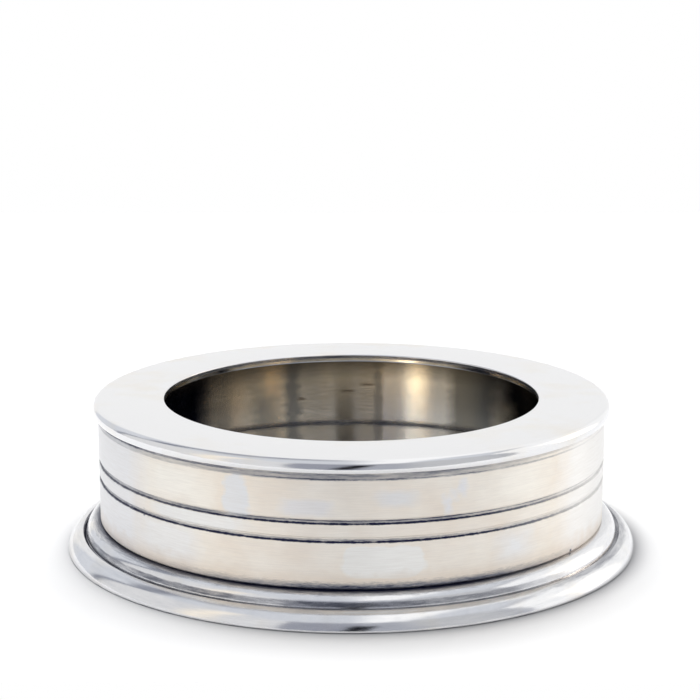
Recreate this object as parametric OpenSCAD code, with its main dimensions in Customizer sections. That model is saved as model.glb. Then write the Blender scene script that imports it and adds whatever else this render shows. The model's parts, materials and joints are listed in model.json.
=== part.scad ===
// Wine bottle coaster in pewter: a flat rim, a side band with two turned grooves, a moulded
// foot and a raised floor. Every piece is turned, so each is a section revolved about the Z
// axis. The origin is the centre of the underside, on the table, with +Z up. The diameters
// build outwards from the opening: plate, wall of the band, then the mouldings of the foot.

/* [Overall] */
// Diameter of the opening that the bottle goes through
opening_d = 91.7; // [70:0.1:120]
// Height from the table to the flat top of the rim
height = 36.3; // [32:0.1:60]

/* [Rim plate] */
// How far the flat plate reaches in over the well
plate_reach = 13.3; // [8:0.1:20]
// Thickness of the flat plate
plate_t = 1.9; // [1.4:0.1:2.6]
// Radius of the soft edge round the opening
lip_round = 0.3; // [0.1:0.05:0.6]
// Diameter of the half-round bead along the plate's outer edge
bead_d = 3.1; // [2.8:0.1:4]
// How far the bead stands out past the side band
bead_reach = 1.25; // [0.8:0.05:1.35]

/* [Side band] */
// Wall of the side band
band_wall = 2.8; // [2:0.1:4]
// Width of each turned groove
groove_w = 1.4; // [0.8:0.1:2]
// Depth of each turned groove
groove_depth = 0.5; // [0.3:0.05:0.9]
// Height of the lower groove's middle above the foot
groove_rise = 11.2; // [6:0.05:15]
// Distance from the lower groove's middle to the upper one's
groove_pitch = 4.05; // [3:0.05:5]
// Chamfer that eases the band's lower edge, where it meets the foot
band_ease = 0.35; // [0.2:0.05:0.6]

/* [Foot ring] */
// Height of the foot, up to the face that the side band stands on
foot_h = 7.1; // [6.6:0.05:9]
// Radius of the upper moulding's convex curve
upper_r = 3.5; // [2.8:0.1:4.5]
// Radius of the lower moulding's convex curve
lower_r = 4.4; // [4:0.1:5]
// How far the middle of the lower moulding's curve lies below the table
lower_drop = 0.3; // [0.1:0.05:0.6]
// How far the lower moulding stands out past the upper one, at the table
lower_reach = 4.55; // [4.2:0.05:5]
// Chamfer that eases the foot's lower edge, where it meets the table
foot_ease = 0.2; // [0.1:0.05:0.4]
// Width of the fine groove between the two mouldings
quirk_w = 0.8; // [0.6:0.05:1.2]
// Depth of the fine groove between the two mouldings
quirk_depth = 0.9; // [0.6:0.05:1.2]
// Wall of the hollow casting
foot_wall = 2.6; // [2.2:0.1:3]
// How far the casting's inner edge reaches in past the floor pan's skirt
foot_lip = 0.8; // [0.4:0.1:2]

/* [Floor pan] */
// Height of the pan, from the foot that its skirt stands on to its floor
pan_h = 7.05; // [4:0.05:12]
// Thickness of the pan's metal
pan_t = 1.5; // [1:0.1:2]
// Inside radius of the bend between the floor and its skirt
pan_bend = 0.4; // [0.2:0.1:1.5]
// Width of the gap that the solder fills round the pan and under the bead
solder_gap = 0.1; // [0.05:0.01:0.15]

/* [Hidden] */
$fn = 180;

// Overrun of every cut past the face that it opens
overrun = 1;

opening_r = opening_d / 2;
band_in_r = opening_r + plate_reach;
band_r = band_in_r + band_wall;

// The rim plate lies on the band's top edge, and its bead hangs over the outside
plate_z = height - plate_t;
bead_r = bead_d / 2;
bead_mid_r = band_r + bead_reach - bead_r;
bead_mid_z = height - bead_r;

// A groove is the bite of a round tool that is wide and deep enough for it
groove_r = (pow(groove_w / 2, 2) + pow(groove_depth, 2)) / (2 * groove_depth);
groove_z = foot_h + groove_rise;

// The pan's skirt stands on the foot inside the band
pan_r = band_in_r - solder_gap;
pan_skirt_in_r = pan_r - pan_t;
floor_z = foot_h + pan_h;

// The foot's casting, from its inner edge out to the lower moulding
foot_in_r = pan_skirt_in_r - foot_lip;
upper_mid_z = foot_h - upper_r;
quirk_in_r = band_r + upper_r;
quirk_out_r = quirk_in_r + quirk_w;
foot_r = quirk_in_r + lower_reach;
lower_mid_r = foot_r - sqrt(pow(lower_r, 2) - pow(lower_drop, 2));
lower_top_z = sqrt(pow(lower_r, 2) - pow(quirk_out_r - lower_mid_r, 2)) - lower_drop;
// Inner edge of the rim that meets the table
stand_in_r = foot_r - foot_wall;
// The hollow's side rises straight for this share of the lower moulding's height
hollow_side_share = 0.2;

// Section of a plain ring between two radii and two heights
module ring_section(r_in, r_out, z_low, z_high) {
    translate([r_in, z_low]) square([r_out - r_in, z_high - z_low]);
}

// Section of a ring of round stock
module round_section(r_mid, z_mid, radius) {
    translate([r_mid, z_mid]) circle(r = radius);
}

// Section of a disc with a rounded upper edge
module pan_section(r_out, z_low, z_high, corner) {
    ring_section(0, r_out, z_low, z_high - corner);
    ring_section(0, r_out - corner, z_low, z_high);
    round_section(r_out - corner, z_high - corner, corner);
}

// Flat plate with a soft edge round the opening
module plate_section() {
    ring_section(opening_r + lip_round, bead_mid_r, plate_z, height);
    ring_section(opening_r, bead_mid_r, plate_z + lip_round, height - lip_round);
    for (z = [plate_z + lip_round, height - lip_round])
        round_section(opening_r + lip_round, z, lip_round);
}

// Chamfer off the lower outer edge of a ring
module edge_cut(r_out, z_low, ease) {
    polygon([
        [r_out - ease, z_low],
        [r_out - ease, z_low - overrun],
        [r_out + overrun, z_low - overrun],
        [r_out + overrun, z_low + ease + overrun]
    ]);
}

// Upper convex moulding and the body behind it
module upper_outline() {
    ring_section(foot_in_r, band_r, 0, foot_h);
    ring_section(foot_in_r, quirk_in_r, 0, upper_mid_z);
    round_section(band_r, upper_mid_z, upper_r);
}

// Lower convex moulding, which starts from a fine V groove beside the upper one
module lower_outline() {
    difference() {
        union() {
            ring_section(foot_in_r, lower_mid_r, 0, lower_top_z);
            round_section(lower_mid_r, -lower_drop, lower_r);
        }
        polygon([
            [band_r, lower_r + overrun],
            [band_r, upper_mid_z],
            [quirk_in_r, upper_mid_z],
            [quirk_in_r + quirk_w / 2, lower_top_z - quirk_depth],
            [quirk_out_r, lower_top_z],
            [quirk_out_r, lower_r + overrun]
        ]);
        edge_cut(foot_r, 0, foot_ease);
    }
}

// Hollow underside, which follows the mouldings at about the wall's thickness
module foot_hollow() {
    polygon([
        [foot_in_r - overrun, -overrun],
        [stand_in_r, -overrun],
        [stand_in_r, lower_top_z * hollow_side_share],
        [band_r, foot_h - foot_wall],
        [foot_in_r - overrun, foot_h - foot_wall]
    ]);
}

module rim_plate() {
    color("gainsboro")
    rotate_extrude()
    difference() {
        union() {
            plate_section();
            round_section(bead_mid_r, bead_mid_z, bead_r);
        }
        ring_section(0, band_r + solder_gap, plate_z - bead_d, plate_z);
    }
}

module side_band() {
    color("silver")
    rotate_extrude()
    difference() {
        ring_section(band_in_r, band_r, foot_h, plate_z);
        for (z = [groove_z, groove_z + groove_pitch])
            round_section(band_r + groove_r - groove_depth, z, groove_r);
        edge_cut(band_r, foot_h, band_ease);
    }
}

module foot_ring() {
    color("lightgray")
    rotate_extrude()
    difference() {
        union() {
            upper_outline();
            lower_outline();
        }
        foot_hollow();
        ring_section(0, foot_r + overrun, -lower_r - upper_r, 0);
    }
}

module floor_pan() {
    color("darkgray")
    rotate_extrude()
    difference() {
        pan_section(pan_r, foot_h, floor_z, pan_bend + pan_t);
        pan_section(pan_skirt_in_r, foot_h - overrun, floor_z - pan_t, pan_bend);
    }
}

rim_plate();
side_band();
foot_ring();
floor_pan();
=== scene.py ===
import json
import math
from collections import namedtuple

import bpy
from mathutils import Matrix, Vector


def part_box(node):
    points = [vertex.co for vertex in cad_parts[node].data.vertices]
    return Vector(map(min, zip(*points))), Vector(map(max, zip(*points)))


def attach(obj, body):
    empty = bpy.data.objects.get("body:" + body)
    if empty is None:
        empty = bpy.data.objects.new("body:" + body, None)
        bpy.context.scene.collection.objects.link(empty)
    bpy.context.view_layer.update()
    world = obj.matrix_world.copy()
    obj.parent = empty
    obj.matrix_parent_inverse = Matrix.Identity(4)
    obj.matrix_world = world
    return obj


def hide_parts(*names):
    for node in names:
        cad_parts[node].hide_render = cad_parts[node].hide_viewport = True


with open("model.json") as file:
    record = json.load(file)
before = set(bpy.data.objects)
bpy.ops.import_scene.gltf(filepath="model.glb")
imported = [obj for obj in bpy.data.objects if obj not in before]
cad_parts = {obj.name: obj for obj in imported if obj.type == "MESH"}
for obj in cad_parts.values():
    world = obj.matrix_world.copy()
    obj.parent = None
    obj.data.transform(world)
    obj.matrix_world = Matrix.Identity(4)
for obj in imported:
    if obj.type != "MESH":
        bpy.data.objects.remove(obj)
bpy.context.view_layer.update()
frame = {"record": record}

# The coaster is four pieces of pewter, each turned on a lathe and soldered to the next. Here each
# piece is its own section, in millimetres from the axis and the table, turned into a smooth mesh
# that stands in for the plainer solid of the same name.

MM = 0.001

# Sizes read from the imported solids, in millimetres
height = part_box("rim_plate")[1].z / MM
plate_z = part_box("side_band")[1].z / MM
band_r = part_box("side_band")[1].x / MM
foot_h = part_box("side_band")[0].z / MM
floor_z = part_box("floor_pan")[1].z / MM
pan_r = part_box("floor_pan")[1].x / MM
opening_r = next(m["dims"]["r_mm"] for m in frame["record"]["mounts"] if m["name"] == "bottle_opening")

# Sizes of the sections that a box doesn't give, in millimetres. The solids have the same ones, but
# for the bead's taper and the softer outer edge of the foot.
LIP_ROUND = 0.3
BEAD_R = 1.55
BEAD_REACH = 1.25
BEAD_TAPER = 0.7
BAND_WALL = 2.8
GROOVE_W = 1.4
GROOVE_DEPTH = 0.5
GROOVE_RISE = 11.2
GROOVE_PITCH = 4.05
BAND_EASE = 0.35
UPPER_R = 3.5
LOWER_R = 4.4
LOWER_DROP = 0.3
LOWER_REACH = 4.55
FOOT_EASE = 0.3
QUIRK_W = 0.8
QUIRK_DEPTH = 0.9
FOOT_WALL = 2.6
FOOT_LIP = 0.8
PAN_T = 1.5
PAN_BEND = 0.4
SOLDER_GAP = 0.1
# Degrees below the bead's middle where its curve ends and goes on as a straight taper
BEAD_END = 25
# The foot's hollow rises straight at its outer side for this share of the lower moulding's height
HOLLOW_SIDE_SHARE = 0.2

band_in_r = band_r - BAND_WALL
bead_mid_r = band_r + BEAD_REACH - BEAD_R
bead_mid_z = height - BEAD_R
bead_low_z = height - 2 * BEAD_R
groove_r = ((GROOVE_W / 2) ** 2 + GROOVE_DEPTH ** 2) / (2 * GROOVE_DEPTH)
groove_in_r = band_r - GROOVE_DEPTH
groove_low_z = foot_h + GROOVE_RISE
groove_high_z = groove_low_z + GROOVE_PITCH
foot_in_r = pan_r - PAN_T - FOOT_LIP
upper_mid_z = foot_h - UPPER_R
quirk_in_r = band_r + UPPER_R
quirk_mid_r = quirk_in_r + QUIRK_W / 2
quirk_out_r = quirk_in_r + QUIRK_W
foot_r = quirk_in_r + LOWER_REACH
lower_mid_r = foot_r - math.sqrt(LOWER_R ** 2 - LOWER_DROP ** 2)
lower_top_z = math.sqrt(LOWER_R ** 2 - (quirk_out_r - lower_mid_r) ** 2) - LOWER_DROP
stand_in_r = foot_r - FOOT_WALL

# Steps round a full turn, degrees between two points of an arc, and the fold in degrees from
# which an edge stays sharp
STEPS_ROUND = 360
ARC_STEP = 6
SHARP_FOLD = 28


def linear(hex_colour):
    """Linear colour, with alpha, of an sRGB hex value."""
    parts = [int(hex_colour[i:i + 2], 16) / 255 for i in (1, 3, 5)]
    return (*(c / 12.92 if c <= 0.04045 else ((c + 0.055) / 1.055) ** 2.4 for c in parts), 1)


def add(tree, kind, inputs=None, **settings):
    """Adds a node. An input takes a value, a hex colour, a socket, or a node for its first output."""
    node = tree.nodes.new(kind)
    for name, value in settings.items():
        setattr(node, name, value)
    for name, value in (inputs or {}).items():
        if isinstance(value, bpy.types.Node):
            value = value.outputs[0]
        if isinstance(value, bpy.types.NodeSocket):
            tree.links.new(value, node.inputs[name])
        else:
            node.inputs[name].default_value = linear(value) if isinstance(value, str) else value
    return node


# Sections

def arc(mid_r, mid_z, radius, start, end):
    """Points of an arc, with its angles in degrees counted up from the outward direction."""
    steps = max(2, math.ceil(abs(end - start) / ARC_STEP))
    turns = [math.radians(start + (end - start) * i / steps) for i in range(steps + 1)]
    return [(mid_r + radius * math.cos(t), mid_z + radius * math.sin(t)) for t in turns]


def rim_section():
    """Flat plate with a soft lip round the opening and a bead that hangs over the band."""
    lip_r = opening_r + LIP_ROUND
    bead = arc(bead_mid_r, bead_mid_z, BEAD_R, 90, -BEAD_END)
    slope = math.radians(BEAD_END)
    taper_r = bead[-1][0] - BEAD_TAPER * math.sin(slope)
    taper_z = bead[-1][1] - BEAD_TAPER * math.cos(slope)
    skirt_r = band_r + SOLDER_GAP
    return [
        *arc(lip_r, plate_z + LIP_ROUND, LIP_ROUND, 270, 180),
        *arc(lip_r, height - LIP_ROUND, LIP_ROUND, 180, 90),
        *bead,
        (taper_r, taper_z),
        (skirt_r, taper_z),
        (skirt_r, plate_z),
    ]


def band_section():
    """Upright wall with two round-bottomed grooves and an eased lower edge."""
    cutter_r = band_r + groove_r - GROOVE_DEPTH
    bite = math.degrees(math.acos((cutter_r - band_r) / groove_r))
    return [
        (band_in_r, foot_h),
        (band_in_r, plate_z),
        (band_r, plate_z),
        *arc(cutter_r, groove_high_z, groove_r, 180 - bite, 180 + bite),
        *arc(cutter_r, groove_low_z, groove_r, 180 - bite, 180 + bite),
        (band_r, foot_h + BAND_EASE),
        (band_r - BAND_EASE, foot_h),
    ]


def foot_section():
    """Two convex mouldings parted by a fine groove, over a hollow underside."""
    lower_start = math.degrees(math.acos((quirk_out_r - lower_mid_r) / LOWER_R))
    lower_end = math.degrees(math.asin((FOOT_EASE + LOWER_DROP) / LOWER_R))
    edge_r = lower_mid_r + LOWER_R * math.cos(math.radians(lower_end)) - FOOT_EASE
    return [
        (foot_in_r, foot_h - FOOT_WALL),
        (foot_in_r, foot_h),
        *arc(band_r, upper_mid_z, UPPER_R, 90, 0),
        (quirk_mid_r, lower_top_z - QUIRK_DEPTH),
        *arc(lower_mid_r, -LOWER_DROP, LOWER_R, lower_start, lower_end),
        *arc(edge_r, FOOT_EASE, FOOT_EASE, 0, -90),
        (stand_in_r, 0),
        (stand_in_r, lower_top_z * HOLLOW_SIDE_SHARE),
        (band_r, foot_h - FOOT_WALL),
    ]


def pan_section():
    """Disc with a bent-down skirt, from the axis over the rim and back to the axis."""
    bend_r = PAN_BEND + PAN_T
    return [
        (0, floor_z),
        *arc(pan_r - bend_r, floor_z - bend_r, bend_r, 90, 0),
        (pan_r, foot_h),
        (pan_r - PAN_T, foot_h),
        *arc(pan_r - bend_r, floor_z - bend_r, PAN_BEND, 0, 90),
        (0, floor_z - PAN_T),
    ]


# Turning

def turning_tree():
    """Turns a section, a row of points in the XZ plane, about the Z axis into a smooth mesh."""
    tree = bpy.data.node_groups.new("turn_section", "GeometryNodeTree")
    face = tree.interface
    face.new_socket("Section", in_out="INPUT", socket_type="NodeSocketGeometry")
    face.new_socket("Steps round", in_out="INPUT", socket_type="NodeSocketInt")
    face.new_socket("Sharp fold", in_out="INPUT", socket_type="NodeSocketFloat")
    face.new_socket("Finish", in_out="INPUT", socket_type="NodeSocketMaterial")
    face.new_socket("Inner finish", in_out="INPUT", socket_type="NodeSocketMaterial")
    face.new_socket("Inner radius", in_out="INPUT", socket_type="NodeSocketFloat")
    face.new_socket("Turned piece", in_out="OUTPUT", socket_type="NodeSocketGeometry")
    given = add(tree, "NodeGroupInput")
    section, steps = given.outputs["Section"], given.outputs["Steps round"]

    # A grid with one column of points for each step round
    points = add(tree, "GeometryNodeAttributeDomainSize", {"Geometry": section}).outputs["Point Count"]
    columns = add(tree, "ShaderNodeMath", {0: steps, 1: 1.0}, operation="ADD")
    grid = add(tree, "GeometryNodeMeshGrid", {"Vertices X": columns, "Vertices Y": points})

    # Each column takes the section's points and turns them to its own angle
    index = add(tree, "GeometryNodeInputIndex")
    column = add(tree, "ShaderNodeMath", {0: index, 1: points}, operation="DIVIDE")
    column = add(tree, "ShaderNodeMath", {0: column}, operation="FLOOR")
    row = add(tree, "ShaderNodeMath", {0: index, 1: points}, operation="MODULO")
    place = add(tree, "GeometryNodeInputPosition")
    on_section = add(
        tree, "GeometryNodeSampleIndex", {"Geometry": section, "Value": place, "Index": row},
        data_type="FLOAT_VECTOR")
    share = add(tree, "ShaderNodeMath", {0: column, 1: steps}, operation="DIVIDE")
    angle = add(tree, "ShaderNodeMath", {0: share, 1: math.tau}, operation="MULTIPLY")
    turned = add(
        tree, "ShaderNodeVectorRotate", {"Vector": on_section, "Angle": angle}, rotation_type="Z_AXIS")
    moved = add(tree, "GeometryNodeSetPosition", {"Geometry": grid, "Position": turned})
    closed = add(tree, "GeometryNodeMergeByDistance", {"Geometry": moved, "Distance": MM / 100})

    # Smooth faces, with an edge left sharp where the section folds
    fold = add(tree, "GeometryNodeInputMeshEdgeAngle")
    gentle = add(
        tree, "FunctionNodeCompare", {0: fold, 1: given.outputs["Sharp fold"]},
        data_type="FLOAT", operation="LESS_THAN")
    smooth = add(
        tree, "GeometryNodeSetShadeSmooth", {"Geometry": closed, "Shade Smooth": True}, domain="FACE")
    creased = add(
        tree, "GeometryNodeSetShadeSmooth", {"Geometry": smooth, "Shade Smooth": gentle}, domain="EDGE")

    # The finish, and another one on what faces the well
    real = add(tree, "GeometryNodeRealizeInstances", {"Geometry": creased})
    dressed = add(tree, "GeometryNodeSetMaterial", {"Geometry": real, "Material": given.outputs["Finish"]})
    flat = add(tree, "ShaderNodeVectorMath", {0: place, 1: (1, 1, 0)}, operation="MULTIPLY")
    reach = add(tree, "ShaderNodeVectorMath", {0: flat}, operation="LENGTH").outputs["Value"]
    within = add(
        tree, "FunctionNodeCompare", {0: reach, 1: given.outputs["Inner radius"]},
        data_type="FLOAT", operation="LESS_THAN")
    lined = add(
        tree, "GeometryNodeSetMaterial",
        {"Geometry": dressed, "Selection": within, "Material": given.outputs["Inner finish"]})
    add(tree, "NodeGroupOutput", {"Turned piece": lined})
    return tree


def turn(name, section, tree, finish, inner_finish=None):
    """Makes a plain mesh of a section by the turning tree, whose result is applied.

    A section that starts on the axis ends there. Any other one is closed to a loop. An inner
    finish covers the faces that lie within the middle of the band's wall.
    """
    outline = section if section[0][0] == 0 else section + section[:1]
    mesh = bpy.data.meshes.new(name + "_section")
    edges = [(i, i + 1) for i in range(len(outline) - 1)]
    mesh.from_pydata([(r * MM, 0, z * MM) for r, z in outline], edges, [])
    sketch = bpy.data.objects.new(name + "_sketch", mesh)
    bpy.context.collection.objects.link(sketch)
    modifier = sketch.modifiers.new("Turn", "NODES")
    modifier.node_group = tree
    sockets = {s.name: s.identifier for s in tree.interface.items_tree if s.in_out == "INPUT"}
    modifier[sockets["Steps round"]] = STEPS_ROUND
    modifier[sockets["Sharp fold"]] = math.radians(SHARP_FOLD)
    modifier[sockets["Finish"]] = finish
    modifier[sockets["Inner finish"]] = inner_finish or finish
    modifier[sockets["Inner radius"]] = (band_in_r + BAND_WALL / 2) * MM if inner_finish else 0.0
    shaped = bpy.data.meshes.new_from_object(sketch.evaluated_get(bpy.context.evaluated_depsgraph_get()))
    shaped.name = name
    bpy.data.objects.remove(sketch)
    piece = bpy.data.objects.new(name, shaped)
    bpy.context.collection.objects.link(piece)
    return piece


# Marks, patina and painted light and shade. Every pattern is laid out in millimetres from the axis and the
# table.

# The dark patina, and the shade painted with it, is grey where it is thin and blue-black where it is thick
PATINA_AND_SHADE_GREY = "#84868E"
PATINA_AND_SHADE_BLACK = "#10173A"
# It changes towards the right and the left between these shares of the band's radius, which paint those
# sides lighter or darker by how the light falls
RIGHT_SHARES = (0.35, 0.9)
LEFT_SHARES = (-0.2, -0.7)
# Width of the strip that noise frays, in millimetres: along a ring of patina, where that is wide
# enough, and along the edge of a patch
RING_FRAY = 0.8
PATCH_FRAY = 1.6

Place = namedtuple("Place", "point radius level")


def turned_place(tree):
    """Place on a turned surface: the point in millimetres, its radius and its level."""
    place = add(tree, "ShaderNodeTexCoord").outputs["Object"]
    point = add(tree, "ShaderNodeVectorMath", {0: place, "Scale": 1 / MM}, operation="SCALE")
    flat = add(tree, "ShaderNodeVectorMath", {0: point, 1: (1, 1, 0)}, operation="MULTIPLY")
    radius = add(tree, "ShaderNodeVectorMath", {0: flat}, operation="LENGTH").outputs["Value"]
    level = add(tree, "ShaderNodeSeparateXYZ", {0: point}).outputs["Z"]
    return Place(point, radius, level)


def turned_noise(tree, place, run, pitch, **inputs):
    """Noise stretched round the axis: a mark runs about run mm and the next is pitch mm away."""
    across = add(tree, "ShaderNodeMath", {0: place.radius, 1: place.level}, operation="ADD")
    across = add(tree, "ShaderNodeMath", {0: across, 1: 1 / pitch}, operation="MULTIPLY")
    spread = add(
        tree, "ShaderNodeVectorMath", {0: place.point, 1: (1 / run, 1 / run, 0)}, operation="MULTIPLY")
    lift = add(tree, "ShaderNodeCombineXYZ", {"Z": across})
    where = add(tree, "ShaderNodeVectorMath", {0: spread, 1: lift}, operation="ADD")
    return add(tree, "ShaderNodeTexNoise", {"Vector": where, "Scale": 1.0, **inputs})


def patina_and_shade(tree, place, rings, run, pitch):
    """Mask of the dark patina that is left in seams and grooves, and of the shade painted in hollows,
    under overhangs and along the foot's edge, grey at a half and black near 1.

    Each ring is a line round the piece: its radius, its level, how far from it the mask is
    full and where it ends, its strength, and the shares of it that are taken off right and left,
    or added there where the share is below zero, which paint those sides lighter or darker by how
    the light falls.
    Fine marks of that run and pitch fray its edge, and longer ones thin it where it isn't black.
    """
    fray = turned_noise(tree, place, run, pitch, Detail=4.0, Roughness=0.7)
    fray = add(
        tree, "ShaderNodeMapRange",
        {"Value": fray, "From Min": 0.3, "From Max": 0.7, "To Min": -0.5, "To Max": 0.5})
    thin = turned_noise(tree, place, run=12, pitch=1.2, Detail=6.0, Roughness=0.75)
    thin = add(
        tree, "ShaderNodeMapRange",
        {"Value": thin, "From Min": 0.35, "From Max": 0.65, "To Min": 0.4, "To Max": 1.2})
    across = add(tree, "ShaderNodeSeparateXYZ", {0: place.point}).outputs["X"]
    sides = [
        add(
            tree, "ShaderNodeMapRange",
            {"Value": across, "From Min": start * band_r, "From Max": end * band_r})
        for start, end in (RIGHT_SHARES, LEFT_SHARES)
    ]
    spot = add(tree, "ShaderNodeCombineXYZ", {"X": place.radius, "Y": place.level})
    mask = 0.0
    for ring_r, ring_z, full, end, strength, *side_light_shares in rings:
        gap = add(tree, "ShaderNodeVectorMath", {0: spot, 1: (ring_r, ring_z, 0)}, operation="DISTANCE")
        gap = gap.outputs["Value"]
        frayed = min(end - full, RING_FRAY)
        gap = add(tree, "ShaderNodeMath", {0: fray, 1: frayed, 2: gap}, operation="MULTIPLY_ADD")
        near = add(
            tree, "ShaderNodeMapRange",
            {"Value": gap, "From Min": full, "From Max": end, "To Min": strength, "To Max": 0.0})
        kept = 1.0
        for side, worn in zip(sides, side_light_shares):
            kept = add(tree, "ShaderNodeMath", {0: side, 1: -worn, 2: kept}, operation="MULTIPLY_ADD")
        near = add(tree, "ShaderNodeMath", {0: near, 1: kept}, operation="MULTIPLY")
        if strength < 1:
            near = add(tree, "ShaderNodeMath", {0: near, 1: thin}, operation="MULTIPLY")
        mask = add(tree, "ShaderNodeMath", {0: mask, 1: near}, operation="MAXIMUM")
    return mask


def blot(tree, place, fray, wall_r, spot):
    """Mask of one squarish mark on a wall of radius wall_r, with an edge that noise frays.

    Its spot is an angle from the front in degrees, a level, a half width, a half height, and
    the share of its size over which its edge fades.
    """
    angle, level, half_w, half_h, soft = spot
    turn_by = math.radians(angle)
    middle = (wall_r * math.sin(turn_by), -wall_r * math.cos(turn_by), level)
    off = add(tree, "ShaderNodeVectorMath", {0: place.point, 1: middle}, operation="SUBTRACT")
    flat = add(tree, "ShaderNodeVectorMath", {0: off, 1: (1, 1, 0)}, operation="MULTIPLY")
    wide = add(tree, "ShaderNodeVectorMath", {0: flat}, operation="LENGTH").outputs["Value"]
    tall = add(tree, "ShaderNodeSeparateXYZ", {0: off}).outputs["Z"]
    off = add(tree, "ShaderNodeCombineXYZ", {"X": wide, "Y": tall})
    off = add(tree, "ShaderNodeVectorMath", {0: off, 1: (1 / half_w, 1 / half_h, 0)}, operation="MULTIPLY")
    # Fourth powers make the mark a square with round corners, where squares would make an oval
    off = add(tree, "ShaderNodeVectorMath", {0: off, 1: off}, operation="MULTIPLY")
    off = add(tree, "ShaderNodeVectorMath", {0: off}, operation="LENGTH").outputs["Value"]
    off = add(tree, "ShaderNodeMath", {0: off}, operation="SQRT")
    off = add(tree, "ShaderNodeMath", {0: fray, 1: PATCH_FRAY / half_w, 2: off}, operation="MULTIPLY_ADD")
    return add(
        tree, "ShaderNodeMapRange",
        {"Value": off, "From Min": 1 - soft, "From Max": 1 + soft, "To Min": 1.0, "To Max": 0.0})


def layered(tree, base, layers):
    """Lays colours over a base colour, each by the mask that stands before it."""
    for mask, colour in layers:
        # Inputs 6 and 7 of a colour mix are its two colours
        base = add(tree, "ShaderNodeMix", {"Factor": mask, 6: base, 7: colour}, data_type="RGBA").outputs[2]
    return base


# Finishes

def metal(name, spread):
    """A bare metal with marks that run round it. Its gloss spreads across them, by 0 to 1."""
    material = bpy.data.materials.new(name)
    material.use_nodes = True
    tree = material.node_tree
    tangent = add(tree, "ShaderNodeTangent", direction_type="RADIAL", axis="Z")
    shader = tree.nodes["Principled BSDF"]
    shader.inputs["Metallic"].default_value = 1.0
    shader.inputs["Anisotropic"].default_value = spread
    # A quarter turn, so that the gloss spreads across the marks and not along them
    shader.inputs["Anisotropic Rotation"].default_value = 0.25
    tree.links.new(tangent.outputs[0], shader.inputs["Tangent"])
    return material, tree, shader, turned_place(tree)


def dress(tree, shader, body, mask, rough, marks, depth):
    """Joins a body colour, its patina and painted shade, its gloss and marks of that depth in mm in the
    shader.
    """
    grey = add(tree, "ShaderNodeMapRange", {"Value": mask, "From Min": 0.0, "From Max": 0.5})
    black = add(tree, "ShaderNodeMapRange", {"Value": mask, "From Min": 0.45, "From Max": 0.85})
    tone = layered(tree, body, [(grey, PATINA_AND_SHADE_GREY), (black, PATINA_AND_SHADE_BLACK)])
    tree.links.new(tone, shader.inputs["Base Color"])
    # Patina, and the shade painted with it, is duller than the metal under it
    gloss = add(tree, "ShaderNodeMapRange", {"Value": mask, "To Min": rough, "To Max": 0.5})
    tree.links.new(gloss.outputs[0], shader.inputs["Roughness"])
    bump = add(tree, "ShaderNodeBump", {"Height": marks, "Strength": 1.0, "Distance": depth * MM})
    tree.links.new(bump.outputs[0], shader.inputs["Normal"])


def polished_pewter(name, rings, dull):
    """Pewter turned and buffed: a pale, slightly cool mirror with fine marks round it, dark seams and lines
    of painted shade.

    Dull is how far the grey streaks go that the buffing wheel left.
    """
    material, tree, shader, place = metal(name, spread=0.5)
    mask = patina_and_shade(tree, place, rings, run=4, pitch=0.15)
    marks = turned_noise(tree, place, run=5, pitch=0.25, Detail=3.0, Roughness=0.6)
    # Clouds of warm patina, about 14 mm across
    cloud = add(tree, "ShaderNodeTexNoise", {"Vector": place.point, "Scale": 1 / 14, "Detail": 3.0})
    cloud = add(
        tree, "ShaderNodeMapRange", {"Value": cloud, "From Min": 0.52, "From Max": 0.75, "To Max": 0.5})
    # Grey streaks, 9 mm long
    streak = turned_noise(tree, place, run=9, pitch=0.35, Detail=5.0, Roughness=0.7)
    streak = add(
        tree, "ShaderNodeMapRange", {"Value": streak, "From Min": 0.4, "From Max": 0.7, "To Max": dull})
    body = layered(tree, "#EAEAEB", [(cloud, "#E6DFD2"), (streak, "#BFC2CA")])
    rough = add(
        tree, "ShaderNodeMapRange",
        {"Value": marks, "From Min": 0.3, "From Max": 0.7, "To Min": 0.09, "To Max": 0.17})
    dress(tree, shader, body, mask, rough.outputs[0], marks, depth=0.016)
    return material


# Patches of the band, most of them rubbed clean and some painted light: angle from the front in
# degrees, level, half width and half height in millimetres, the share over which the edge fades,
# and colour
RUBBED_AND_PAINTED_LIGHT_PATCHES = [
    # paler patches painted high on both sides of the band, where it mirrors more light
    (-40.0, 27.5, 9.0, 4.0, 0.5, "#FBF7EE"),
    (37.0, 28.0, 8.0, 4.5, 0.5, "#FBF6EC"),
    (-24.0, 26.5, 3.0, 4.4, 0.15, "#E8E9EB"),
    (-9.0, 25.4, 5.4, 1.8, 0.3, "#ECEAE9"),
    (9.0, 27.4, 4.0, 1.6, 0.5, "#EAE9E8"),
    (22.6, 29.2, 0.9, 1.5, 0.8, "#ECECEE"),
    (21.4, 27.2, 0.9, 1.7, 0.8, "#ECECEE"),
    (20.0, 25.0, 0.9, 1.5, 0.8, "#ECECEE"),
    (-34.0, 20.2, 13.0, 1.6, 0.2, "#F1F1EF"),
    (6.4, 13.2, 9.2, 3.6, 0.05, "#F5F4F0"),
    (-42.0, 13.2, 9.0, 4.6, 0.3, "#F3F2F0"),
    (36.0, 13.6, 4.0, 3.0, 0.8, "#F0F0F0"),
    # the two sides of the band, painted paler and cooler than its front, for the whiter light it mirrors
    # there
    (-80.0, 22.0, 31.0, 40.0, 0.15, "#F0F0F1"),
    (80.0, 22.0, 31.0, 40.0, 0.15, "#F4F3F1"),
]
# Small dark dents, with the same measures
NICKS = [(-49.4, 18.2, 0.25, 0.7, 0.5), (54.6, 7.6, 0.35, 0.3, 0.6)]
# How far the warm haze reaches up from the foot, in millimetres
HAZE_REACH = 4.5


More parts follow.
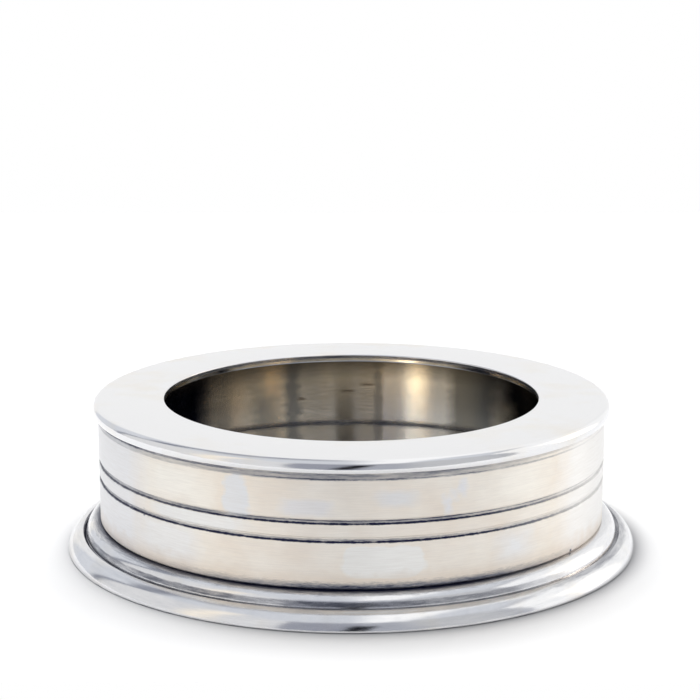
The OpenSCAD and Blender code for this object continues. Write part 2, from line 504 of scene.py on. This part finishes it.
def satin_pewter(name, rings):
    """Pewter brushed round with a coarse pad: a soft beige sheen with pale patches, some of them painted
    light, dark grooves and a shade painted under the bead.
    """
    material, tree, shader, place = metal(name, spread=0.9)
    # The oxide left in the brushed skin scatters light
    shader.inputs["Metallic"].default_value = 0.45
    mask = patina_and_shade(tree, place, rings, run=1.6, pitch=0.2)
    marks = turned_noise(tree, place, run=4, pitch=0.3, Detail=3.0, Roughness=0.65)
    # Warm clouds of patina, about 12 mm across
    cloud = add(tree, "ShaderNodeTexNoise", {"Vector": place.point, "Scale": 1 / 12, "Detail": 5.0})
    cloud = add(tree, "ShaderNodeMapRange", {"Value": cloud, "From Min": 0.35, "From Max": 0.65})
    # Pale and bluish patches, most that the pad rubbed clean and some painted light, with an edge that
    # wanders at 3 mm
    ripple = add(tree, "ShaderNodeTexNoise", {"Vector": place.point, "Scale": 1 / 3, "Detail": 5.0})
    ripple = add(
        tree, "ShaderNodeMapRange",
        {"Value": ripple, "From Min": 0.3, "From Max": 0.7, "To Min": -0.5, "To Max": 0.5})
    patches = [(blot(tree, place, ripple, band_r, spot), colour) for *spot, colour in RUBBED_AND_PAINTED_LIGHT_PATCHES]
    # A warm brown tint low on the band, strongest at the foot and fading out upwards
    haze = add(tree, "ShaderNodeMath", {0: ripple, 1: 2.0, 2: place.level}, operation="MULTIPLY_ADD")
    haze = add(
        tree, "ShaderNodeMapRange",
        {"Value": haze, "From Min": foot_h, "From Max": foot_h + HAZE_REACH, "To Min": 0.55, "To Max": 0.0})
    # Fine lines of the pad, 6 mm long
    lines = turned_noise(tree, place, run=6, pitch=0.22, Detail=5.0, Roughness=0.75)
    lines = add(
        tree, "ShaderNodeMapRange", {"Value": lines, "From Min": 0.4, "From Max": 0.7, "To Max": 0.3})
    body = layered(tree, "#F6F0E6", [(cloud, "#EFE5D8"), *patches, (haze, "#D9C4AC"), (lines, "#D2CCC6")])
    for spot in NICKS:
        nick = blot(tree, place, 0.0, band_r, spot)
        mask = add(tree, "ShaderNodeMath", {0: mask, 1: nick}, operation="MAXIMUM")
    rough = add(
        tree, "ShaderNodeMapRange",
        {"Value": marks, "From Min": 0.3, "From Max": 0.7, "To Min": 0.42, "To Max": 0.52})
    dress(tree, shader, body, mask, rough.outputs[0], marks, depth=0.02)
    return material


# Reflections painted on the well's wall, as bright and dark streaks, glints and dark sides, and a few
# scratches, with the measures of a rubbed patch
WELL_PAINTED_LIGHT_AND_SCRATCHES = [
    (161, 24, 11.2, 60, 0.06, "#F8F1E2"),
    (163.4, 24, 3.2, 40, 0.6, "#FFFDF4"),
    (172.7, 22, 1.0, 30, 0.6, "#BFB6A4"),
    (181.8, 24, 3.0, 60, 0.7, "#F6ECD8"),
    (196, 22, 1.9, 30, 0.6, "#A8A295"),
    (202.2, 28.6, 2.6, 2.4, 0.8, "#FFECC8"),
    (203.5, 18.5, 3.4, 6.0, 0.6, "#B4AE9F"),
    (212.2, 18, 2.0, 7.0, 0.6, "#FFEBCB"),
    (222, 35, 22, 7, 0.7, "#8C8A86"),
    (237, 24, 20, 40, 0.40, "#1E2230"),
    (146, 24, 6.5, 40, 0.3, "#98968E"),
    (124.5, 24, 10.5, 40, 0.25, "#3C3B3C"),
    (134.8, 21.6, 2.6, 1.8, 0.8, "#FFECC8"),
    # scratches
    (193.6, 21.2, 0.8, 0.3, 0.9, "#8A7860"),
    (181.0, 23.2, 1.3, 0.25, 1.0, "#A08C70"),
    (175.6, 25.0, 1.4, 0.25, 1.0, "#A08C70"),
]
# How far below the rim plate the painted shade is full, and where it ends, in millimetres
SHADE_UNDER_PLATE_FULL = 3
SHADE_UNDER_PLATE_END = 8


def well_pewter(name, rings):
    """Pewter as the wheel left it inside the well: a dark, smooth wall with bright and dark
    streaks of painted reflection, shade painted under the rim plate and at its foot, and a few
    scratches.
    """
    material, tree, shader, place = metal(name, spread=1.0)
    mask = patina_and_shade(tree, place, rings, run=5, pitch=0.3)
    marks = turned_noise(tree, place, run=5, pitch=0.4, Detail=5.0, Roughness=0.7)
    worn = add(tree, "ShaderNodeMapRange", {"Value": marks, "From Min": 0.3, "From Max": 0.7})
    ripple = turned_noise(tree, place, run=9, pitch=2.2, Detail=3.0, Roughness=0.6)
    ripple = add(
        tree, "ShaderNodeMapRange",
        {"Value": ripple, "From Min": 0.3, "From Max": 0.7, "To Min": -0.5, "To Max": 0.5})
    # Bright and dark streaks of painted reflection on the wall, and a few scratches
    patches = [(blot(tree, place, ripple, band_in_r, spot), colour) for *spot, colour in WELL_PAINTED_LIGHT_AND_SCRATCHES]
    # Brown shade painted under the rim plate, where its overhang shades the wall
    shade_under_plate = add(
        tree, "ShaderNodeMapRange",
        {"Value": place.level, "From Min": plate_z - SHADE_UNDER_PLATE_END,
         "From Max": plate_z - SHADE_UNDER_PLATE_FULL, "To Max": 0.8})
    body = layered(tree, "#DACBAD", [(worn, "#FAEBD2"), *patches, (shade_under_plate, "#5C5344")])
    dress(tree, shader, body, mask, 0.16, marks, depth=0.006)
    return material


def floor_pewter(name, rings):
    """Pewter burnished on the wheel: grey rings of marks, with a shade painted where it meets the wall."""
    material, tree, shader, place = metal(name, spread=0.5)
    mask = patina_and_shade(tree, place, rings, run=5, pitch=0.3)
    marks = turned_noise(tree, place, run=9, pitch=0.4, Detail=3.0, Roughness=0.6)
    worn = add(tree, "ShaderNodeMapRange", {"Value": marks, "From Min": 0.35, "From Max": 0.65})
    body = layered(tree, "#BEC5D2", [(worn, "#D0D5DF")])
    dress(tree, shader, body, mask, 0.12, marks, depth=0.003)
    return material


# Rings of patina and of painted shade: radius, level, full to, ends at, strength, and the shares taken off
# on the right and left, which paint those sides lighter by how the light falls, or darker where below zero
# a dark line painted along the lip's upper edge, standing for the dark reflection there
RIM_RINGS = [(opening_r, height - 0.6, 0.2, 0.5, 0.6, 0, 0)]
BAND_RINGS = [
    # grey on the band under the bead, partly patina and partly painted shade of the overhanging bead, paler
    # on the right and darker on the left
    (band_r, bead_low_z - 0.3, 0.2, 0.5, 0.5, 0.9, -0.5),
    (band_r, bead_low_z - 0.75, 0.7, 0.95, 0.45, 1.4, 0.4),
    (band_r, bead_low_z - 1.3, 0.1, 0.3, 0.7, 0.9, 0.8),
    # a dark line along the lower edge of each groove, and another along the upper one's upper edge
    (groove_in_r, groove_low_z - 0.15, 0.15, 0.42, 0.42, 0.9, 0),
    (groove_in_r + 0.2, groove_low_z - 0.5, 0.12, 0.40, 1.05, 0.85, 0.2),
    (groove_in_r, groove_high_z - 0.1, 0.3, 0.55, 0.45, 0.9, 0),
    (groove_in_r + 0.2, groove_high_z - 0.44, 0.12, 0.36, 1.0, 0.85, 0.3),
    (groove_in_r + 0.05, groove_high_z + 0.18, 0.06, 0.22, 0.9, 0.8, 0.8),
    # black in the seam over the foot, and a grey fringe above it
    (band_r, foot_h, 0.1, 0.5, 1.25, 0.88, 0.5),
    (band_r, foot_h, 0.4, 1.9, 0.8, 0.9, 0.8),
]
FOOT_RINGS = [
    # black in the seam under the band, which fades out over the upper moulding
    (band_r, foot_h, 0.1, 2.3, 1.05, 0.88, 0.22),
    # a grey line on the upper moulding's outer side, partly patina and partly a painted dark reflection
    (quirk_in_r - 0.25, upper_mid_z + 1.25, 0.42, 0.7, 0.52, 0.9, 0),
    # a grey shade painted beside the fine groove, stronger on the right
    (quirk_out_r + 0.4, lower_top_z, 0.7, 1.6, 0.15, -1.5, 0.6),
    # the fine groove, with shade painted in it: grey at its mouth, a little stronger on the right, and dark
    # at its bottom, darkest on the left and gone on the right
    (quirk_mid_r, lower_top_z - 0.45, 0.5, 0.8, 0.28, -0.3, 0),
    (quirk_mid_r, lower_top_z - QUIRK_DEPTH, 0.3, 0.7, 0.4, 1.0, -1.0),
    # a thin dark edge painted at the foot's bottom, where it meets the table, for the contact shadow there
    (foot_r, 0, 0.1, 0.35, 0.8, 0.2, 0),
]
# shade painted where the well's wall meets its floor, on the foot of the wall and the edge of the floor
WELL_RINGS = [(band_in_r, floor_z, 0.2, 1.0, 0.5, 0, 0)]
PAN_RINGS = [(pan_r, floor_z, 0.8, 4.2, 0.5, 0, 0)]


# Stage: a pale table top, white surroundings for the eye and a soft studio for the metal to reflect

# The table top's edges, in metres. The front one lies a little way in front of the coaster.
TABLE_HALF_W = 0.5
TABLE_FRONT = -0.097
TABLE_BACK = 0.6
# The soft shade painted on it: its reach from the foot in millimetres, how fast it fades, and its
# shares at the left and the right end of the foot
SHADE_REACH = 7
SHADE_FADE = 2.5
SHADE_LEFT_SHARE = 0.3
SHADE_RIGHT_SHARE = 1.1


def seen_directly(tree):
    """1 for what the eye sees itself, in metal or through glass, and 0 for light and shade."""
    ray = add(tree, "ShaderNodeLightPath")
    seen = 0.0
    for kind in ("Is Camera Ray", "Is Glossy Ray", "Is Transmission Ray"):
        seen = add(tree, "ShaderNodeMath", {0: seen, 1: ray.outputs[kind]}, operation="ADD")
    # Light that reaches a matt surface by way of the metal counts as light
    matt = add(tree, "ShaderNodeMath", {0: ray.outputs["Diffuse Depth"], 1: 0.5}, operation="LESS_THAN")
    return add(tree, "ShaderNodeMath", {0: seen, 1: matt}, operation="MULTIPLY")


def pale_table():
    """A table top of matt white card: an even white that keeps the coaster's soft shadow, with a shade
    painted round the foot.
    """
    mesh = bpy.data.meshes.new("table_top")
    corners = [
        (-TABLE_HALF_W, TABLE_FRONT, 0),
        (TABLE_HALF_W, TABLE_FRONT, 0),
        (TABLE_HALF_W, TABLE_BACK, 0),
        (-TABLE_HALF_W, TABLE_BACK, 0),
    ]
    mesh.from_pydata(corners, [], [(0, 1, 2, 3)])
    table = bpy.data.objects.new("table_top", mesh)
    bpy.context.collection.objects.link(table)
    material = bpy.data.materials.new("white_card_painted_shade")
    material.use_nodes = True
    tree = material.node_tree
    shader = tree.nodes["Principled BSDF"]
    # A shade painted on the card round the foot, fading outwards and darkest on the right
    place = add(tree, "ShaderNodeTexCoord").outputs["Object"]
    reach = add(tree, "ShaderNodeVectorMath", {0: place}, operation="LENGTH").outputs["Value"]
    near = add(
        tree, "ShaderNodeMapRange",
        {"Value": reach, "From Min": foot_r * MM, "From Max": (foot_r + SHADE_REACH) * MM,
         "To Min": 1.0, "To Max": 0.0})
    near = add(tree, "ShaderNodeMath", {0: near, 1: SHADE_FADE}, operation="POWER")
    across = add(tree, "ShaderNodeSeparateXYZ", {0: place}).outputs["X"]
    share = add(
        tree, "ShaderNodeMapRange",
        {"Value": across, "From Min": -foot_r * MM, "From Max": foot_r * MM,
         "To Min": SHADE_LEFT_SHARE, "To Max": SHADE_RIGHT_SHARE})
    near = add(tree, "ShaderNodeMath", {0: near, 1: share}, operation="MULTIPLY")
    tree.links.new(layered(tree, "#FCFCFC", [(near, "#B4B4B6")]), shader.inputs["Base Color"])
    shader.inputs["Roughness"].default_value = 1.0
    shader.inputs["Specular IOR Level"].default_value = 0.0
    shader.inputs["Emission Color"].default_value = (1, 1, 1, 1)
    # A trace of glow lifts the card to the photograph's white and adds no light
    glow = add(tree, "ShaderNodeMath", {0: seen_directly(tree), 1: 0.03}, operation="MULTIPLY")
    tree.links.new(glow.outputs[0], shader.inputs["Emission Strength"])
    mesh.materials.append(material)


def panel_mask(tree, ray, facing, wide, tall, soft, lean=0.0):
    """Mask of a flat panel round the object, seen from it.

    Facing is its azimuth, from the front to the right, and its elevation, in degrees. Wide and
    tall are its two edges as slopes from there, soft is how far each pair of edges fades, and
    lean is how far it leans towards a higher azimuth for each unit of height.
    """
    turn_by, rise = (math.radians(a) for a in facing)
    ahead = (math.sin(turn_by) * math.cos(rise), -math.cos(turn_by) * math.cos(rise), math.sin(rise))
    across = (math.cos(turn_by), math.sin(turn_by), 0)
    upward = (-math.sin(turn_by) * math.sin(rise), math.cos(turn_by) * math.sin(rise), math.cos(rise))
    depth = add(tree, "ShaderNodeVectorMath", {0: ray, 1: ahead}, operation="DOT_PRODUCT").outputs["Value"]
    # What lies the other way comes out far beside the panel
    depth = add(tree, "ShaderNodeMath", {0: depth, 1: 0.001}, operation="MAXIMUM")
    side = add(tree, "ShaderNodeVectorMath", {0: ray, 1: across}, operation="DOT_PRODUCT").outputs["Value"]
    lift = add(tree, "ShaderNodeVectorMath", {0: ray, 1: upward}, operation="DOT_PRODUCT").outputs["Value"]
    side = add(tree, "ShaderNodeMath", {0: lift, 1: -lean, 2: side}, operation="MULTIPLY_ADD")
    spot = add(tree, "ShaderNodeCombineXYZ", {"X": side, "Y": lift})
    spot = add(tree, "ShaderNodeVectorMath", {0: spot, 1: depth}, operation="DIVIDE")
    middle = ((wide[0] + wide[1]) / 2, (tall[0] + tall[1]) / 2, 0)
    spot = add(tree, "ShaderNodeVectorMath", {0: spot, 1: middle}, operation="SUBTRACT")
    spot = add(tree, "ShaderNodeVectorMath", {0: spot}, operation="ABSOLUTE")
    half = ((wide[1] - wide[0]) / 2, (tall[1] - tall[0]) / 2, 0)
    over = add(tree, "ShaderNodeVectorMath", {0: spot, 1: half}, operation="SUBTRACT")
    over = add(tree, "ShaderNodeVectorMath", {0: over, 1: (*soft, 1)}, operation="DIVIDE")
    over = add(tree, "ShaderNodeSeparateXYZ", {0: over})
    worst = add(tree, "ShaderNodeMath", {0: over.outputs["X"], 1: over.outputs["Y"]}, operation="MAXIMUM")
    return add(
        tree, "ShaderNodeMapRange",
        {"Value": worst, "From Min": -1.0, "From Max": 1.0, "To Min": 1.0, "To Max": 0.0},
        interpolation_type="SMOOTHSTEP")


# Panels of the studio, each laid over the ones before it: facing, wide, tall, soft, lean, colour, level
PANELS = [
    # grey wall in front, darker on its left and paler on its right
    ((20, 0), (-1.11, 1.19), (-1.6, 1.2), (0.04, 0.25), 0, "#B7BAC3", 0.95),
    ((45, 0), (-0.35, 0.43), (-1.6, 1.2), (0.20, 0.25), 0, "#D2D3D6", 0.95),
    ((-11, 0), (-0.33, 0.26), (-1.6, 1.1), (0.04, 0.3), 0, "#A6A9B4", 0.95),
    # pale wall in front on the left, with a warm lamp on it
    ((-73, 0), (-1.05, 1.0), (-1.6, 1.3), (0.06, 0.3), 0, "#EBEBEC", 1.0),
    ((-63, 0), (-0.10, 0.10), (-1.6, 1.3), (0.12, 0.4), 0, "#FFF6E8", 1.12),
    # dark edge and white sheet at the back on the left
    ((-152, 0), (-1.0, 0.74), (-2.0, 1.35), (0.07, 0.2), 0, "#A2A6B2", 0.85),
    ((-152, 0), (-0.9, 0.60), (-2.0, 0.92), (0.04, 0.10), 0, "#E2E5EB", 1.0),
    # dark edge and white sheet on the right, which goes on higher at the back
    ((112, 0), (-0.88, 0.95), (-2.0, 1.36), (0.03, 0.10), 0, "#C8CAD1", 0.95),
    ((112, 0), (-0.78, 0.86), (-2.0, 1.20), (0.03, 0.16), 0, "#FFFFFF", 1.12),
    ((150, 0), (-0.45, 0.6), (-2.0, 2.2), (0.10, 0.3), 0, "#FFFFFF", 1.08),
    # warm lamp low on the right
    ((115, 14), (-0.20, 0.20), (-0.25, 0.25), (0.2, 0.25), 0, "#FFF8EE", 2.3),
    # dark corner of the ceiling behind on the left
    ((0, 90), (-0.5, -0.02), (0.25, 0.75), (0.1, 0.15), 0, "#BFC1C8", 0.95),
    # long lamp overhead, to the right of the middle
    ((0, 90), (0.06, 0.36), (-0.75, 1.1), (0.09, 0.2), 0, "#FFFFFF", 1.15),
]
# What shows only where it is mirrored once or twice, outside and on the well's floor: a dark stand
NEAR_PANELS = [((0.5, 0), (-0.085, 0.085), (-0.75, 0.62), (0.03, 0.12), 0.144, "#05070F", 1.0)]
# What shows only where it is mirrored three times or more, on the well's wall: sheets and lamps
WELL_PANELS = [
    ((165, 13), (-0.35, 0.50), (-0.3, 0.3), (0.15, 0.2), 0, "#FFF8EC", 1.4),
    ((90, 13), (-0.5, 0.5), (-0.3, 0.3), (0.2, 0.2), 0, "#FFFAF2", 1.35),
    ((124, 14), (-0.42, 0.42), (-0.25, 0.25), (0.12, 0.2), 0, "#FFF4E4", 2.5),
    ((115, 14), (-0.14, 0.14), (-0.25, 0.25), (0.14, 0.2), 0, "#FFF0DA", 9.5),
    ((-98, 15), (-0.05, 0.05), (-0.05, 0.05), (0.06, 0.06), 0, "#FFE9CC", 3.0),
]
# The white background, which the camera and the metal see behind the coaster
BACKDROP = ((183, 0), (-0.55, 0.50), (-2.0, 0.55), (0.06, 0.12))
# Share of the studio's brightness that lights matt surfaces. The two lamps give the rest.
STUDIO_SHARE = 0.6


def studio():
    """White for the eye, and a grey room with soft panels for the metal and the light."""
    world = bpy.data.worlds.new("studio")
    bpy.context.scene.world = world
    world.use_nodes = True
    tree = world.node_tree
    tree.nodes.clear()
    ray = add(tree, "ShaderNodeTexCoord").outputs["Generated"]
    mirrored = add(tree, "ShaderNodeLightPath").outputs["Glossy Depth"]
    # Deep is what was mirrored three times or more
    deep = add(tree, "ShaderNodeMath", {0: mirrored, 1: 2.5}, operation="GREATER_THAN")
    shallow = add(tree, "ShaderNodeMath", {0: 1.0, 1: deep}, operation="SUBTRACT")
    layers = []
    for panels, share in ((PANELS, 1.0), (NEAR_PANELS, shallow), (WELL_PANELS, deep)):
        for facing, wide, tall, soft, lean, colour, level in panels:
            mask = panel_mask(tree, ray, facing, wide, tall, soft, lean)
            mask = add(tree, "ShaderNodeMath", {0: mask, 1: share}, operation="MULTIPLY")
            layers.append((mask, (*(c * level for c in linear(colour)[:3]), 1)))
    behind = panel_mask(tree, ray, *BACKDROP)
    seen = seen_directly(tree)
    seen_behind = add(tree, "ShaderNodeMath", {0: seen, 1: behind}, operation="MULTIPLY")
    by_camera = add(tree, "ShaderNodeLightPath").outputs["Is Camera Ray"]
    layers += [(behind, "#F4F5F7"), (seen_behind, "#FFFFFF"), (by_camera, "#FFFFFF")]
    tone = layered(tree, "#DFE2E8", layers)
    strength = add(tree, "ShaderNodeMapRange", {"Value": seen, "To Min": STUDIO_SHARE, "To Max": 1.0})
    light = add(tree, "ShaderNodeBackground", {"Color": tone, "Strength": strength})
    add(tree, "ShaderNodeOutputWorld", {"Surface": light})


def soft_lamp(name, watts, place, size):
    """A soft box that faces the object. It only gives light: the metal mirrors the panels instead."""
    lamp = bpy.data.lights.new(name, "AREA")
    lamp.shape = "RECTANGLE"
    lamp.size, lamp.size_y = size
    lamp.energy = watts
    holder = bpy.data.objects.new(name, lamp)
    bpy.context.collection.objects.link(holder)
    holder.location = place
    holder.rotation_euler = Vector(place).to_track_quat("Z", "Y").to_euler()
    holder.visible_glossy = False
    holder.visible_camera = False


# The camera as it was fitted to the photograph: its place in metres, the degrees that it looks down
# and to the left, and its lens and sensor in millimetres
EYE_PLACE = (0, -0.44582, 0.14114)
LOOK_DOWN = 11.892
LOOK_LEFT = 0.0416
LENS_MM = 95.66
SENSOR_MM = 36


def camera():
    """The photograph's view: from in front, 18 degrees above the table."""
    lens = bpy.data.cameras.new("view")
    lens.sensor_width = SENSOR_MM
    lens.lens = LENS_MM
    lens.clip_start = 0.01
    eye = bpy.data.objects.new("view", lens)
    bpy.context.collection.objects.link(eye)
    eye.location = EYE_PLACE
    eye.rotation_euler = (math.radians(90 - LOOK_DOWN), 0, math.radians(LOOK_LEFT))
    bpy.context.scene.camera = eye


# The coaster, piece by piece

turning = turning_tree()
rim_finish = polished_pewter("buffed_pewter_rim", RIM_RINGS, dull=0.06)
band_finish = satin_pewter("brushed_pewter_band", BAND_RINGS)
well_finish = well_pewter("pewter_well_painted_light", WELL_RINGS)
foot_finish = polished_pewter("buffed_pewter_foot", FOOT_RINGS, dull=0.3)
pan_finish = floor_pewter("burnished_pewter_floor", PAN_RINGS)
turned_rim = turn("turned_rim", rim_section(), turning, rim_finish)
turned_band = turn("turned_band", band_section(), turning, band_finish, well_finish)
turned_foot = turn("turned_foot", foot_section(), turning, foot_finish)
turned_floor = turn("turned_floor", pan_section(), turning, pan_finish)
PIECES = [
    ("rim_plate", "polished_pewter", turned_rim),
    ("side_band", "satin_pewter", turned_band),
    ("foot_ring", "polished_pewter", turned_foot),
    ("floor_pan", "floor_pewter", turned_floor),
]
for node, slot, piece in PIECES:
    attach(piece, "root")
    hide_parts(node)

pale_table()
studio()
# One lamp over the back of the table, left of the middle, for the shadow in front of the foot and
# on its right, and a fill in front
soft_lamp("lamp_behind", watts=45, place=(-0.2, 1.05, 2.4), size=(2.2, 1.2))
soft_lamp("front_fill", watts=36, place=(0.1, -2.4, 0.35), size=(2.0, 0.6))
camera()
bpy.context.scene.view_settings.view_transform = "Standard"
